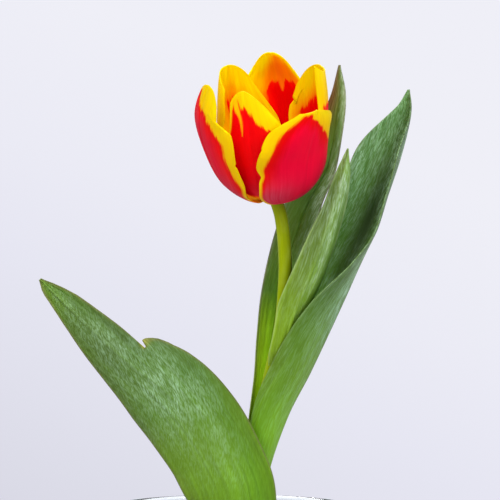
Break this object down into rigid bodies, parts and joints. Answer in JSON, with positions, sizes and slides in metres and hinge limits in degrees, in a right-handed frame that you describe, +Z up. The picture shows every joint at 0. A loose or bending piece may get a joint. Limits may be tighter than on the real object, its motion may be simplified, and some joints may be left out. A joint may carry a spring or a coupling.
{
  "type": "cut tulip in a glass vase",
  "caption": "Single cut tulip, red with yellow margins, with its leaves, standing in a plain clear glass cylinder vase of water.",
  "frame": {"origin": "centre of the vase's flat underside", "axes": "+Z up along the vase's axis; -Y is the front, where the bloom leans out over the rim; +X to the right seen from the front"},
  "size_m": [0.1484, 0.1511, 0.3359],
  "materials": {
    "clear_glass": "clear, fire polished rim",
    "water": "clear still water",
    "stem": "smooth waxy green stem",
    "leaf": "green leaf with grey wax bloom and lengthwise veins",
    "petal": "satin red petal with yellow margins",
    "pistil": "matte yellow green ovary with dark anthers"
  },
  "bodies": {
    "root": {"vase": "clear_glass", "water": "water", "stem": "stem", "leaf_left": "leaf", "leaf_right": "leaf", "leaf_back": "leaf", "leaf_small": "leaf", "petal_outer_right": "petal", "petal_outer_left": "petal", "petal_outer_back": "petal", "petal_inner_front": "petal", "petal_inner_right": "petal", "petal_inner_left": "petal", "pistil_and_stamens": "pistil"}
  },
  "joints": []
}
